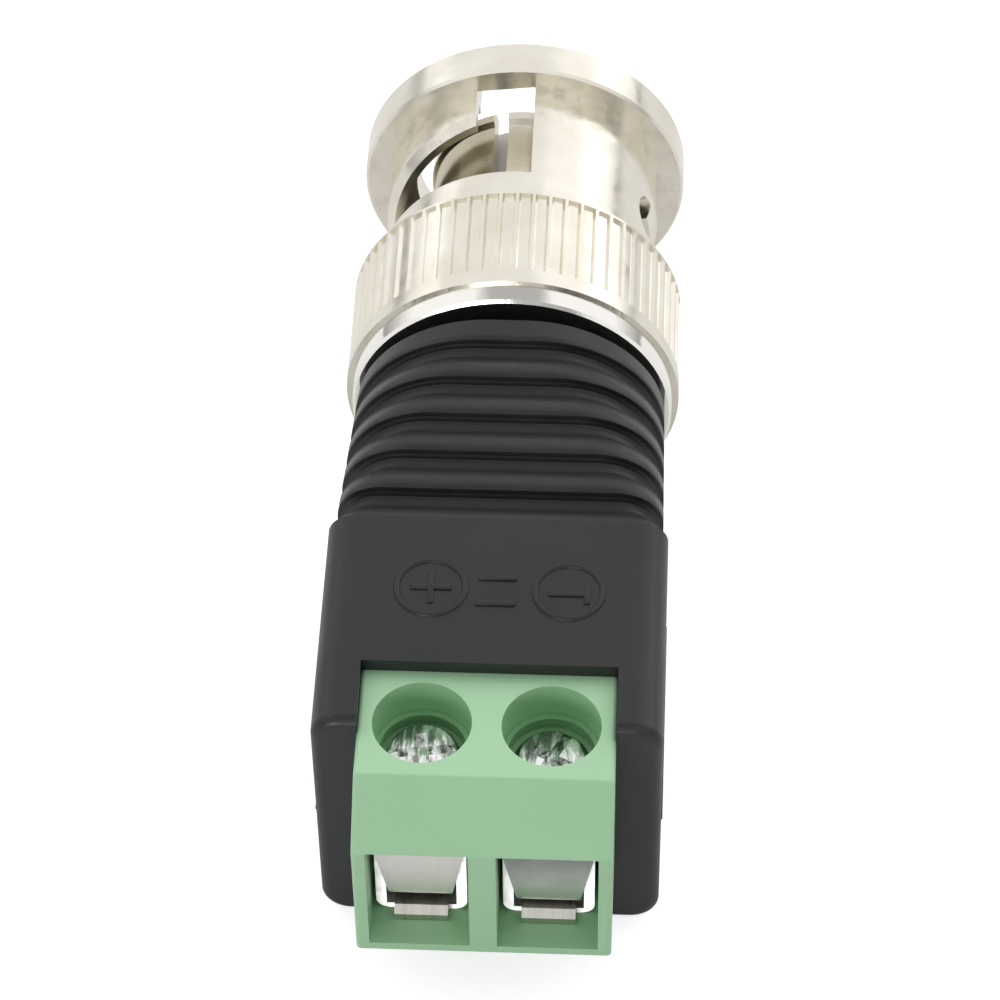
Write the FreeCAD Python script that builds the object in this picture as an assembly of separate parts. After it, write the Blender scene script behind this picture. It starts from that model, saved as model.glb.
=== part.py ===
"""BNC plug to two-pole screw terminal adapter, in millimetres.

+Y points out of the plug along its axis, +Z is the side of the terminal screws, and the
origin is the centre of the coupling nut's mouth. A depth is a distance behind that mouth.
"""
import FreeCAD
import Part
import math
import os

from FreeCAD import Base

V = Base.Vector
CENTRE = V(0, 0, 0)
PLUG_AXIS = V(0, 1, 0)

# Coupling nut
NUT_LENGTH = 15.5
NUT_R = 7.25
MOUTH_FLANGE = 1.8
TUBE_R = 6.1
BORE_R = 4.9
RELIEF_R = 5.4
RELIEF_END = 8.3
BORE_DEPTH = 12.2
LIP_THICKNESS = 1.2
REAR_RELIEF_R = 5.2
REAR_RIM_START = 13.85
REAR_HUB_LENGTH = 0.9
REAR_HUB_INSET = 0.3
MOUTH_CHAMFER = 0.3
EDGE_BREAK = 0.12

# Knurled grip of the nut
FLUTES = 63
KNURL_LENGTH = 4.45
FLUTE_DEPTH = 0.14
FLUTE_SHARE = 0.8
FLUTE_FLANK = 0.15
KNURL_LIP = 0.25

# Bayonet slots, with angles clockwise from the screw side as seen from the terminals
SLOT_WIDTH = 2.64
SLOT_ENTRY_ANGLE = -7.5
SLOT_SWEEP = 101.5
ENTRY_CHANNEL_R = 6.1
SLOT_REAR_DEPTH = 6.95
RAMP_START_DEPTH = 3.45
RAMP_LEAD = 6.2
RAMP_EDGE_BEVEL = 0.35
SEAT_R = 1.15

# Spring barrel and body of the plug
BARREL_R = 4.05
BARREL_WALL = 0.6
BARREL_SETBACK = 1.0
BEAD_HEIGHT = 0.16
BEAD_LENGTH = 1.0
FINGERS = 4
FINGER_SLIT = 0.65
FINGER_SLIT_DEPTH = 7.6
FINGER_FIRST_ANGLE = -14.0
FINGER_ROOT = 0.2
SEAL_FACE_DEPTH = 9.6
COLLAR_THICKNESS = 1.4
COLLAR_CLEARANCE = 0.08
SHANK_R = 4.0
SHANK_CLEARANCE = 0.08
ANCHOR_RING_R = 4.5
ANCHOR_NECK_R = 3.7
ANCHOR_RINGS = 2
ANCHOR_PITCH = 2.0
ANCHOR_START_GAP = 1.0
EARTH_TAB = (2.4, 3.0, 0.6)

# Seal and washers inside the nut
SEAL_THICKNESS = 1.0
SEAL_SEAT_R = 3.85
SEAL_R = 4.72
WAVE_SHEET = 0.2
WAVE_HEIGHT = 0.15
WAVES = 3
THRUST_THICKNESS = 0.3
WASHER_CLEARANCE = 0.08

# Insulator and centre pin
INSULATOR_R = 3.3
INSULATOR_LENGTH = 9.3
INSULATOR_STOP_R = 3.0
INSULATOR_STOP = 0.6
SKIRT_SETBACK = 1.3
SKIRT_BORE_R = 2.45
SKIRT_CLEARANCE = 0.05
PIN_R = 0.675
PIN_SHANK_R = 0.9
PIN_SETBACK = 1.9
PIN_BARB_R = 1.15
PIN_BARB = 2.0
PIN_CUP_R = 1.0
PIN_CUP_LENGTH = 2.5
PIN_CUP_BORE_R = 0.55
PIN_CUP_BORE = 1.8

# Moulded body
MOULD_GAP = 0.6
MOULD_LENGTH = 21.46
MOULD_FRONT_BREAK = 0.2
NECK_FRONT_INSET = 0.6
NECK_FRONT_FLAT = 1.5
NECK_LENGTH = 10.95
NECK_INSET = 0.2
MOULD_SIDE_INSET = 0.325
MOULD_TOP_INSET = 0.8
MOULD_CORNER_R = 1.2
MOULD_END_R = 0.4
GROOVES = 5
GROOVE_PITCH = 2.0
GROOVE_FIRST = 1.85
GROOVE_R = 0.55
GROOVE_RAISE = 0.1
GROOVE_STEPS = 8

# Terminal block
PITCH = 5.08
BLOCK_DEPTH = 7.6
BLOCK_OUT = 4.52
BLOCK_SINK = 0.63
BLOCK_HEIGHT = 8.29
SLOPE_RUN = 2.53
SLOPE_FALL = 1.82
BLOCK_EDGE_R = 0.2
ENTRY_WIDTH = 4.0
FLOOR_THICKNESS = 0.42
REAR_WALL = 0.65
SLOPE_WALL = 0.55
WELL_R = 1.965
WELL_DEPTH = 2.4
WELL_STEP_R = 1.75
WELL_STEP = 0.58
WELL_FROM_FRONT = 5.09
WEB_THICKNESS = 0.95
WEB_FRONT = 2.3

# Clamp in each pole
CAGE_FRONT = 1.75
CAGE_DEPTH = 4.6
CAGE_WIDTH = 3.64
CAGE_SIDE = 0.42
CAGE_TOP = 0.9
CAGE_FLOOR = 0.3
CAGE_BEND_R = 0.55
CAGE_HEAD_ROOM = 0.12
STRIP_WIDTH = 2.15
STRIP_THICKNESS = 0.35
STRIP_LIP = 0.6
STRIP_LIP_BEND = 0.3
STRIP_LIP_DROP = 0.28
STRIP_TO_WALL = 0.1
SOLDER_PIN_WIDTH = 1.0
SOLDER_PIN_THICKNESS = 0.45
SOLDER_PIN_LENGTH = 3.1
SERRATIONS = 4
SERRATION_DEPTH = 0.08

# Wire guard in each pole
GUARD_SHEET = 0.3
GUARD_GAP = 0.5
GUARD_TOP_WIDTH = 3.6
GUARD_FOOT_WIDTH = 2.5
GUARD_TOP_FROM_FRONT = 1.1
GUARD_TOP_SINK = 3.07
GUARD_KNEE_FROM_FRONT = 1.42
GUARD_FOOT_TO_REAR = 0.5
GUARD_BEND_R = 0.35
MINUS_POLE_DROP = 0.2

# Clamp screws
SCREW_R = 1.0
SCREW_CLEARANCE = 0.05
SCREW_HEAD_R = 1.4
SCREW_HEAD = 1.0
SCREW_HEAD_CLEARANCE = 0.12
SCREW_HEAD_RISE = 0.53
SCREW_TIP_R = 0.75
SCREW_TIP = 0.4
SCREW_TIP_GAP = 0.03
DRIVE_WIDTH = 0.42
DRIVE_DEPTH = 0.38
PLUS_DRIVE_ANGLE = 8.0
MINUS_DRIVE_ANGLE = 62.0

# Leads from the plug to the solder pins, and their solder
LEAD_R = 0.3
SLEEVE_R = 0.6
SLEEVE_BARE = 1.0
LEAD_BEND_R = 1.5
LEAD_LIFT = 0.06
LEAD_CUP_RUN = 3.6
LEAD_TAB_RUN = 1.8
LEAD_PIN_RUN = 4.2
SOLDER_R = 0.85
SOLDER_LENGTH = 1.5

# Widths that follow the nut
REAR_HUB_R = NUT_R - REAR_HUB_INSET
NECK_FRONT_WIDTH = 2 * (NUT_R - NECK_FRONT_INSET)
NECK_FRONT_CORNER_R = (NECK_FRONT_WIDTH - NECK_FRONT_FLAT) / 2
MOULD_WIDTH = 2 * (NUT_R - MOULD_SIDE_INSET)
MOULD_HEIGHT = 2 * (NUT_R - MOULD_TOP_INSET)
BLOCK_TOP = MOULD_HEIGHT / 2 - BLOCK_SINK
BLOCK_BOTTOM = BLOCK_TOP - BLOCK_HEIGHT
GUARD_TOP_Z = BLOCK_TOP - GUARD_TOP_SINK

# Stations along the plug axis
BODY_FRONT_Y = -BARREL_SETBACK
SEAL_FACE_Y = -SEAL_FACE_DEPTH
COLLAR_REAR_Y = SEAL_FACE_Y - COLLAR_THICKNESS
MOULD_FRONT_Y = -NUT_LENGTH - MOULD_GAP
MOULD_REAR_Y = MOULD_FRONT_Y - MOULD_LENGTH
NECK_REAR_Y = MOULD_FRONT_Y - NECK_LENGTH
BLOCK_FRONT_Y = MOULD_REAR_Y - BLOCK_OUT
BLOCK_REAR_Y = BLOCK_FRONT_Y + BLOCK_DEPTH
ANCHOR_START_Y = MOULD_FRONT_Y - ANCHOR_START_GAP
BODY_REAR_Y = ANCHOR_START_Y - ANCHOR_RINGS * ANCHOR_PITCH
INSULATOR_FRONT_Y = SEAL_FACE_Y + INSULATOR_STOP / 2
INSULATOR_REAR_Y = INSULATOR_FRONT_Y - INSULATOR_LENGTH

# Heights in the terminal block
FLOOR_Z = BLOCK_BOTTOM + FLOOR_THICKNESS
WELL_FLOOR_Z = BLOCK_TOP - WELL_DEPTH
WEB_Z = WELL_FLOOR_Z - WEB_THICKNESS
CAGE_TOP_Z = WEB_Z - CAGE_HEAD_ROOM
STRIP_Z = FLOOR_Z + CAGE_FLOOR
STRIP_TOP_Z = STRIP_Z + STRIP_THICKNESS
SCREW_Y = BLOCK_FRONT_Y + WELL_FROM_FRONT
PIN_FRONT_Y = BLOCK_REAR_Y - REAR_WALL - STRIP_TO_WALL


def face_of(points):
    """Flat face with straight edges through the points."""
    return Part.Face(Part.makePolygon(points + [points[0]]))


def turned(outline):
    """Solid turned about the plug axis from (radius, y) points."""
    return face_of([V(r, y, 0) for r, y in outline]).revolve(CENTRE, PLUG_AXIS, 360)


def ring(outer_r, inner_r, front_y, rear_y):
    """Plain ring about the plug axis, or a disc where the inner radius is 0."""
    return turned([(inner_r, front_y), (outer_r, front_y), (outer_r, rear_y), (inner_r, rear_y)])


def clocked(shape, angle):
    """The shape turned about the plug axis from the screw side towards +X."""
    copy = shape.copy()
    copy.rotate(CENTRE, PLUG_AXIS, angle)
    return copy


def block(x0, x1, y0, y1, z0, z1):
    """Rectangular solid between two corners."""
    return Part.makeBox(x1 - x0, y1 - y0, z1 - z0, V(x0, y0, z0))


def side_profile(points, width, x=0.0):
    """Solid of the given width, centred on x, from an outline of (y, z) points."""
    face = face_of([V(x - width / 2, y, z) for y, z in points])
    return face.extrude(V(width, 0, 0))


def rounded_section(y, width, height, radius):
    """Rounded rectangle across the plug axis, as a wire of four lines and four arcs."""
    half_w = width / 2
    half_h = height / 2
    lean = radius * (1 - math.sqrt(0.5))
    edges = []
    corners = [(1, 1), (-1, 1), (-1, -1), (1, -1)]
    for index, (sx, sz) in enumerate(corners):
        along_x = V(sx * (half_w - radius), y, sz * half_h)
        along_z = V(sx * half_w, y, sz * (half_h - radius))
        middle = V(sx * (half_w - lean), y, sz * (half_h - lean))
        start, end = (along_z, along_x) if sx == sz else (along_x, along_z)
        edges.append(Part.Arc(start, middle, end).toShape())
        nx, nz = corners[(index + 1) % 4]
        if nx == nz:
            follow = V(nx * half_w, y, nz * (half_h - radius))
        else:
            follow = V(nx * (half_w - radius), y, nz * half_h)
        edges.append(Part.LineSegment(end, follow).toShape())
    return Part.Wire(edges)


def fluted_band(front_y, rear_y):
    """Knurled band: a ring of thin straight ridges with flat grooves between them."""
    step = 2 * math.pi / FLUTES
    groove = step * FLUTE_SHARE
    edges = []
    for flute in range(FLUTES):
        start = flute * step
        ridge_end = start + step - groove
        angles = [start, (start + ridge_end) / 2, ridge_end]
        top = [V(NUT_R * math.sin(a), rear_y, NUT_R * math.cos(a)) for a in angles]
        low_r = NUT_R - FLUTE_DEPTH
        low = [V(low_r * math.sin(a), rear_y, low_r * math.cos(a))
               for a in (ridge_end + groove * FLUTE_FLANK, start + step - groove * FLUTE_FLANK)]
        next_ridge = V(NUT_R * math.sin(start + step), rear_y, NUT_R * math.cos(start + step))
        edges.append(Part.Arc(*top).toShape())
        edges.append(Part.LineSegment(top[2], low[0]).toShape())
        edges.append(Part.LineSegment(low[0], low[1]).toShape())
        edges.append(Part.LineSegment(low[1], next_ridge).toShape())
    return Part.Face(Part.Wire(edges)).extrude(V(0, front_y - rear_y, 0))


def bayonet_cutter():
    """Tool for one bayonet slot: mouth channel, window, ramp and round seat."""
    outer = TUBE_R + 0.5
    inner = BORE_R - 0.5
    half = SLOT_WIDTH / 2
    channel = block(-half, half, -MOUTH_FLANGE, 0.1, inner, ENTRY_CHANNEL_R)
    window = block(-half, half, -SLOT_REAR_DEPTH, -MOUTH_FLANGE, inner, outer)
    sector_face = face_of([V(0, y, r) for r, y in (
        (inner, -SLOT_REAR_DEPTH), (outer, -SLOT_REAR_DEPTH),
        (outer, -MOUTH_FLANGE - 0.5), (inner, -MOUTH_FLANGE - 0.5))])
    sector = sector_face.revolve(CENTRE, PLUG_AXIS, -SLOT_SWEEP)

    # The wall in front of the ramp is swept along a helix, built about Z and turned onto the axis.
    entry_half_angle = math.degrees(half / TUBE_R)
    overrun = 6.0
    sweep_angle = SLOT_SWEEP + overrun - entry_half_angle
    rise = RAMP_LEAD * sweep_angle / 360
    path = Part.makeHelix(RAMP_LEAD, rise, TUBE_R)
    height = RAMP_START_DEPTH
    edge_r = TUBE_R - RAMP_EDGE_BEVEL
    corners = [V(inner - 0.5, 0, 0), V(edge_r, 0, 0), V(outer + 0.5, 0, outer + 0.5 - edge_r),
               V(outer + 0.5, 0, height), V(inner - 0.5, 0, height)]
    profile = Part.makePolygon(corners + [corners[0]])
    land = Part.Wire(path.Edges).makePipeShell([profile], True, True)
    land.rotate(CENTRE, V(1, 1, 1), 240)
    land = clocked(land, -SLOT_SWEEP - overrun)
    land.translate(V(0, -RAMP_START_DEPTH - rise, 0))

    seat = Part.makeCylinder(SEAT_R, outer - inner, V(0, -SLOT_REAR_DEPTH + SEAT_R, inner), V(0, 0, 1))
    ramp = sector.cut(land)
    tool = window.multiFuse([channel, ramp, clocked(seat, -SLOT_SWEEP)])
    return clocked(tool, SLOT_ENTRY_ANGLE)


def coupling_nut():
    """Die-cast nut with mouth flange, two bayonet slots, fluted grip and inner rear lip."""
    knurl_rear = -REAR_RIM_START
    knurl_front = knurl_rear + KNURL_LENGTH
    hub_front = -NUT_LENGTH + REAR_HUB_LENGTH
    lip_rear = -BORE_DEPTH - LIP_THICKNESS
    turned_body = turned([
        (BORE_R + MOUTH_CHAMFER, 0), (NUT_R - EDGE_BREAK, 0), (NUT_R, -EDGE_BREAK),
        (NUT_R, -MOUTH_FLANGE + EDGE_BREAK), (NUT_R - EDGE_BREAK, -MOUTH_FLANGE),
        (TUBE_R, -MOUTH_FLANGE), (TUBE_R, knurl_front + KNURL_LIP),
        (NUT_R - FLUTE_DEPTH, knurl_front + KNURL_LIP), (NUT_R, knurl_front + KNURL_LIP / 2),
        (NUT_R, knurl_front), (NUT_R - FLUTE_DEPTH, knurl_front),
        (NUT_R - FLUTE_DEPTH, knurl_rear), (NUT_R, knurl_rear), (NUT_R, hub_front),
        (REAR_HUB_R, hub_front), (REAR_HUB_R, -NUT_LENGTH + EDGE_BREAK),
        (REAR_HUB_R - EDGE_BREAK, -NUT_LENGTH), (REAR_RELIEF_R, -NUT_LENGTH),
        (REAR_RELIEF_R, lip_rear), (SHANK_R + SHANK_CLEARANCE, lip_rear),
        (SHANK_R + SHANK_CLEARANCE, -BORE_DEPTH), (BORE_R, -BORE_DEPTH), (BORE_R, -RELIEF_END),
        (RELIEF_R, -RELIEF_END + RELIEF_R - BORE_R), (RELIEF_R, -MOUTH_FLANGE), (BORE_R, -MOUTH_FLANGE),
        (BORE_R, -MOUTH_CHAMFER)])
    band = fluted_band(knurl_front, knurl_rear).cut(
        ring(NUT_R - FLUTE_DEPTH - 0.3, 0, knurl_front + 1, knurl_rear - 1))
    nut = turned_body.fuse(band)
    slot = bayonet_cutter()
    return nut.cut(slot).cut(clocked(slot, 180))


def plug_body():
    """Plated body: slit spring barrel, seal face, collar, shank, anchor rings and earth tab."""
    inner_r = BARREL_R - BARREL_WALL
    bead_r = BARREL_R + BEAD_HEIGHT
    bead_rear = BODY_FRONT_Y - BEAD_LENGTH
    collar_r = BORE_R - COLLAR_CLEARANCE
    stop_front = INSULATOR_FRONT_Y + INSULATOR_STOP
    barrel_rear = -FINGER_SLIT_DEPTH + FINGER_ROOT
    outline = [
        (inner_r + 0.15, BODY_FRONT_Y), (BARREL_R - 0.15, BODY_FRONT_Y),
        (bead_r, BODY_FRONT_Y - 0.35), (bead_r, bead_rear + 0.25), (BARREL_R, bead_rear),
        (BARREL_R, barrel_rear), (SEAL_SEAT_R, barrel_rear),
        (SEAL_SEAT_R, SEAL_FACE_Y), (collar_r, SEAL_FACE_Y), (collar_r, COLLAR_REAR_Y),
        (SHANK_R, COLLAR_REAR_Y)]
    for index in range(ANCHOR_RINGS):
        groove_front = ANCHOR_START_Y - index * ANCHOR_PITCH
        ring_front = groove_front - ANCHOR_PITCH / 2
        before_r = SHANK_R if index == 0 else ANCHOR_RING_R
        outline += [(before_r, groove_front), (ANCHOR_NECK_R, groove_front),
                    (ANCHOR_NECK_R, ring_front), (ANCHOR_RING_R, ring_front)]
    outline += [
        (ANCHOR_RING_R, BODY_REAR_Y), (INSULATOR_R, BODY_REAR_Y),
        (INSULATOR_R, INSULATOR_FRONT_Y), (INSULATOR_STOP_R, INSULATOR_FRONT_Y),
        (INSULATOR_STOP_R, stop_front), (inner_r, stop_front), (inner_r, BODY_FRONT_Y - 0.15)]
    body = turned(outline)
    for finger in range(FINGERS):
        slit = block(-FINGER_SLIT / 2, FINGER_SLIT / 2, -FINGER_SLIT_DEPTH, 0, 0, bead_r + 1)
        body = body.cut(clocked(slit, FINGER_FIRST_ANGLE + finger * 360 / FINGERS))
    width, length, thickness = EARTH_TAB
    tab_top = -(INSULATOR_R + thickness / 3)
    tab = block(-width / 2, width / 2, BODY_REAR_Y - length, BODY_REAR_Y + 0.5,
                tab_top - thickness, tab_top)
    return body.fuse(tab)


def face_seal():
    """Soft ring that seals the mated socket against the collar."""
    seal = ring(SEAL_R, SEAL_SEAT_R, SEAL_FACE_Y + SEAL_THICKNESS, SEAL_FACE_Y)
    edges = [e for e in seal.Edges if abs(e.BoundBox.YMax - (SEAL_FACE_Y + SEAL_THICKNESS)) < 0.001
             and e.BoundBox.XMax > (SEAL_SEAT_R + SEAL_R) / 2]
    return seal.makeFillet(SEAL_THICKNESS / 4, edges)


def wave_washer():
    """Spring washer with three waves, drawn as it is when the nut is pulled fully forward."""
    crest_y = COLLAR_REAR_Y - WAVE_SHEET
    points_per_turn = WAVES * 12

    def wave(radius):
        points = []
        for step in range(points_per_turn):
            a = 2 * math.pi * step / points_per_turn
            dip = WAVE_HEIGHT / 2 * (1 - math.cos(WAVES * a))
            points.append(V(radius * math.sin(a), crest_y - dip, radius * math.cos(a)))
        curve = Part.BSplineCurve()
        curve.interpolate(points, PeriodicFlag=True)
        return curve.toShape()

    inner = wave(SHANK_R + WASHER_CLEARANCE)
    outer = wave(BORE_R - 2 * WASHER_CLEARANCE)
    return Part.makeRuledSurface(inner, outer).extrude(V(0, WAVE_SHEET, 0))


def thrust_washer():
    """Flat washer on the nut's inner lip, which the wave washer pushes back."""
    return ring(BORE_R - WASHER_CLEARANCE, SHANK_R + WASHER_CLEARANCE,
                -BORE_DEPTH + THRUST_THICKNESS, -BORE_DEPTH)


def centre_pin():
    """Plated contact pin with a barb in the insulator and a solder cup behind it."""
    barb_front = INSULATOR_FRONT_Y - 1.5
    barb_rear = barb_front - PIN_BARB
    cup_rear = INSULATOR_REAR_Y - PIN_CUP_LENGTH
    pin = turned([
        (0, -PIN_SETBACK), (PIN_R * 0.4, -PIN_SETBACK), (PIN_R, -PIN_SETBACK - PIN_R),
        (PIN_R, INSULATOR_FRONT_Y), (PIN_SHANK_R, INSULATOR_FRONT_Y), (PIN_SHANK_R, barb_front),
        (PIN_BARB_R, barb_rear), (PIN_CUP_R, barb_rear),
        (PIN_CUP_R, cup_rear), (PIN_CUP_BORE_R, cup_rear),
        (PIN_CUP_BORE_R, cup_rear + PIN_CUP_BORE), (0, cup_rear + PIN_CUP_BORE)])
    return pin


def insulator(pin):
    """White plastic plug that carries the pin, with a skirt in front of the stop."""
    plug = ring(INSULATOR_R, 0, INSULATOR_FRONT_Y, INSULATOR_REAR_Y).cut(pin)
    skirt = ring(INSULATOR_STOP_R - SKIRT_CLEARANCE, SKIRT_BORE_R, -SKIRT_SETBACK, INSULATOR_FRONT_Y)
    return plug.fuse(skirt)


def from_front(distance):
    """The y of a plane at this distance behind the terminal block's front face."""
    return BLOCK_FRONT_Y + distance


def terminal_outline():
    """Side outline of the terminal block: flat top, sloped front and upright lower front."""
    return [(from_front(0), BLOCK_BOTTOM), (from_front(0), BLOCK_TOP - SLOPE_FALL),
            (from_front(SLOPE_RUN), BLOCK_TOP), (BLOCK_REAR_Y, BLOCK_TOP),
            (BLOCK_REAR_Y, BLOCK_BOTTOM)]


def terminal_blank():
    """Outer form of the terminal block with its softened visible edges."""
    blank = side_profile(terminal_outline(), 2 * PITCH)
    soft = []
    for edge in blank.Edges:
        box = edge.BoundBox
        at_rear = box.YMin > BLOCK_REAR_Y - 0.001
        at_bottom = box.ZMax < BLOCK_BOTTOM + 0.001
        if not at_rear and not at_bottom:
            soft.append(edge)
    return blank.makeFillet(BLOCK_EDGE_R, soft)


def terminal_housing(poles):
    """Green two-pole housing with a wire entry, a clamp chamber and a screw well per pole."""
    housing = terminal_blank()
    slope = SLOPE_FALL / SLOPE_RUN
    lean = math.hypot(1, slope)
    entry_top = BLOCK_TOP - SLOPE_FALL - 0.02
    inner_at_front = BLOCK_TOP - SLOPE_FALL - SLOPE_WALL * lean
    meets = (entry_top - inner_at_front) / slope
    pocket_top = inner_at_front + WEB_FRONT * slope
    chamber = [(from_front(-0.1), FLOOR_Z), (from_front(-0.1), entry_top), (from_front(meets), entry_top),
               (from_front(WEB_FRONT), pocket_top), (from_front(WEB_FRONT), WEB_Z),
               (BLOCK_REAR_Y - REAR_WALL, WEB_Z), (BLOCK_REAR_Y - REAR_WALL, FLOOR_Z)]
    for x in poles:
        housing = housing.cut(side_profile(chamber, ENTRY_WIDTH, x))
        well = Part.makeCylinder(WELL_R, WELL_DEPTH + 1, V(x, SCREW_Y, WELL_FLOOR_Z + WELL_STEP))
        guide = Part.makeCylinder(WELL_STEP_R, WELL_DEPTH, V(x, SCREW_Y, WELL_FLOOR_Z))
        hole = Part.makeCylinder(SCREW_HEAD_R + SCREW_HEAD_CLEARANCE, WEB_THICKNESS + 1,
                                 V(x, SCREW_Y, WEB_Z - 0.5))
        pin_half = SOLDER_PIN_WIDTH / 2
        pin_hole = block(x - pin_half, x + pin_half, PIN_FRONT_Y - SOLDER_PIN_THICKNESS, PIN_FRONT_Y,
                         BLOCK_BOTTOM - 1, FLOOR_Z + 0.1)
        housing = housing.cut(well.multiFuse([guide, hole, pin_hole]))
    return housing


def clamp_cage(x):
    """Folded metal box round the clamp, with the screw's threaded hole in its thick top."""
    front = from_front(CAGE_FRONT)
    rear = front + CAGE_DEPTH
    half = CAGE_WIDTH / 2
    outer = block(x - half, x + half, front, rear, FLOOR_Z, CAGE_TOP_Z)
    bends = [e for e in outer.Edges if e.BoundBox.YLength > CAGE_DEPTH - 0.01]
    outer = outer.makeFillet(CAGE_BEND_R, bends)
    inner = block(x - half + CAGE_SIDE, x + half - CAGE_SIDE, front - 1, rear + 1,
                  STRIP_Z, CAGE_TOP_Z - CAGE_TOP)
    hole = Part.makeCylinder(SCREW_R + SCREW_CLEARANCE, CAGE_TOP + 1,
                             V(x, SCREW_Y, CAGE_TOP_Z - CAGE_TOP - 0.5))
    return outer.cut(inner).cut(hole)


def contact_strip(x):
    """Lower jaw of the clamp: serrated strip with a turned-down lip and a solder pin."""
    cage_front = from_front(CAGE_FRONT)
    lip_front = cage_front - STRIP_LIP
    bend_y = lip_front + STRIP_LIP_BEND
    drop = STRIP_LIP_DROP
    bar = side_profile([
        (lip_front, STRIP_Z - drop), (lip_front, STRIP_TOP_Z - drop), (bend_y, STRIP_TOP_Z),
        (PIN_FRONT_Y, STRIP_TOP_Z), (PIN_FRONT_Y, STRIP_Z), (bend_y, STRIP_Z)], STRIP_WIDTH, x)
    for index in range(SERRATIONS):
        notch_x = x + (index - (SERRATIONS - 1) / 2) * STRIP_WIDTH / SERRATIONS
        half = STRIP_WIDTH / SERRATIONS / 4
        face = face_of([V(notch_x - half, 0, STRIP_TOP_Z + 0.01), V(notch_x + half, 0, STRIP_TOP_Z + 0.01),
                        V(notch_x, 0, STRIP_TOP_Z - SERRATION_DEPTH)])
        notch = face.extrude(V(0, CAGE_DEPTH / 2, 0))
        notch.translate(V(0, cage_front + 0.1, 0))
        bar = bar.cut(notch)
    half = SOLDER_PIN_WIDTH / 2
    pin = block(x - half, x + half, PIN_FRONT_Y - SOLDER_PIN_THICKNESS, PIN_FRONT_Y,
                BLOCK_BOTTOM - SOLDER_PIN_LENGTH, STRIP_Z + 0.05)
    return bar.fuse(pin).removeSplitter()


def wire_guard(x, drop):
    """Sprung guard: tapered apron behind the wire entry and a foot under the screw."""
    foot_low = STRIP_TOP_Z + GUARD_GAP - drop
    foot_high = foot_low + GUARD_SHEET
    top_y = from_front(GUARD_TOP_FROM_FRONT)
    knee_y = from_front(GUARD_KNEE_FROM_FRONT)
    top_z = GUARD_TOP_Z - drop
    rear_y = from_front(CAGE_FRONT + CAGE_DEPTH - GUARD_FOOT_TO_REAR)
    sheet = side_profile([
        (top_y, top_z), (knee_y, foot_low), (rear_y, foot_low), (rear_y, foot_high),
        (knee_y + GUARD_SHEET, foot_high), (top_y + GUARD_SHEET, top_z)], GUARD_TOP_WIDTH, x)
    bends = {}
    for edge in sheet.Edges:
        box = edge.BoundBox
        if box.XLength > GUARD_TOP_WIDTH - 0.01:
            if abs(box.YMin - knee_y) < 0.01 and abs(box.ZMin - foot_low) < 0.01:
                bends["outer"] = edge
            if abs(box.YMin - knee_y - GUARD_SHEET) < 0.01 and abs(box.ZMin - foot_high) < 0.01:
                bends["inner"] = edge
    sheet = sheet.makeFillet(GUARD_BEND_R + GUARD_SHEET, [bends["outer"]])
    inner = [e for e in sheet.Edges if e.BoundBox.XLength > GUARD_TOP_WIDTH - 0.01
             and abs(e.BoundBox.YMin - knee_y - GUARD_SHEET) < 0.01
             and abs(e.BoundBox.ZMin - foot_high) < 0.01]
    sheet = sheet.makeFillet(GUARD_BEND_R, inner)
    half_top = GUARD_TOP_WIDTH / 2
    half_foot = GUARD_FOOT_WIDTH / 2
    outline = face_of([V(x - half_top, 0, top_z + 1), V(x + half_top, 0, top_z + 1),
                       V(x + half_top, 0, top_z), V(x + half_foot, 0, foot_high),
                       V(x + half_foot, 0, foot_low - 1), V(x - half_foot, 0, foot_low - 1),
                       V(x - half_foot, 0, foot_high), V(x - half_top, 0, top_z)])
    taper = outline.extrude(V(0, BLOCK_DEPTH, 0))
    taper.translate(V(0, BLOCK_FRONT_Y, 0))
    return sheet.common(taper)


def clamp_screw(x, drop, drive_angle):
    """Cheese-head screw with a slot and a cross recess, standing on the guard's foot."""
    head_top = WELL_FLOOR_Z + SCREW_HEAD_RISE - drop
    head_low = head_top - SCREW_HEAD
    tip_low = STRIP_TOP_Z + GUARD_GAP + GUARD_SHEET - drop + SCREW_TIP_GAP
    outline = [(0, tip_low), (SCREW_TIP_R, tip_low), (SCREW_R, tip_low + SCREW_TIP), (SCREW_R, head_low),
               (SCREW_HEAD_R, head_low), (SCREW_HEAD_R, head_top - EDGE_BREAK),
               (SCREW_HEAD_R - EDGE_BREAK, head_top), (0, head_top)]
    screw = face_of([V(r, 0, z) for r, z in outline]).revolve(CENTRE, V(0, 0, 1), 360)
    half = DRIVE_WIDTH / 2
    slot = block(-SCREW_HEAD_R, SCREW_HEAD_R, -half, half, head_top - DRIVE_DEPTH, head_top + 1)
    arm = SCREW_HEAD_R * 0.62
    cross = block(-half, half, -arm, arm, head_top - DRIVE_DEPTH * 1.2, head_top + 1)
    screw = screw.cut(slot.fuse(cross))
    screw.rotate(CENTRE, V(0, 0, 1), drive_angle)
    screw.translate(V(x, SCREW_Y, 0))
    return screw


def bent_path(points, radius):
    """Wire of straight runs through the points, with a tangent arc of this radius at each turn."""
    edges = []
    last = points[0]
    for before, corner, after in zip(points, points[1:], points[2:]):
        back = (before - corner).normalize()
        ahead = (after - corner).normalize()
        angle = back.getAngle(ahead)
        trim = radius / math.tan(angle / 2)
        start = corner + back * trim
        end = corner + ahead * trim
        bisector = (back + ahead).normalize()
        middle = corner + bisector * (radius / math.sin(angle / 2) - radius)
        edges.append(Part.LineSegment(last, start).toShape())
        edges.append(Part.Arc(start, middle, end).toShape())
        last = end
    edges.append(Part.LineSegment(last, points[-1]).toShape())
    return Part.Wire(edges)


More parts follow.
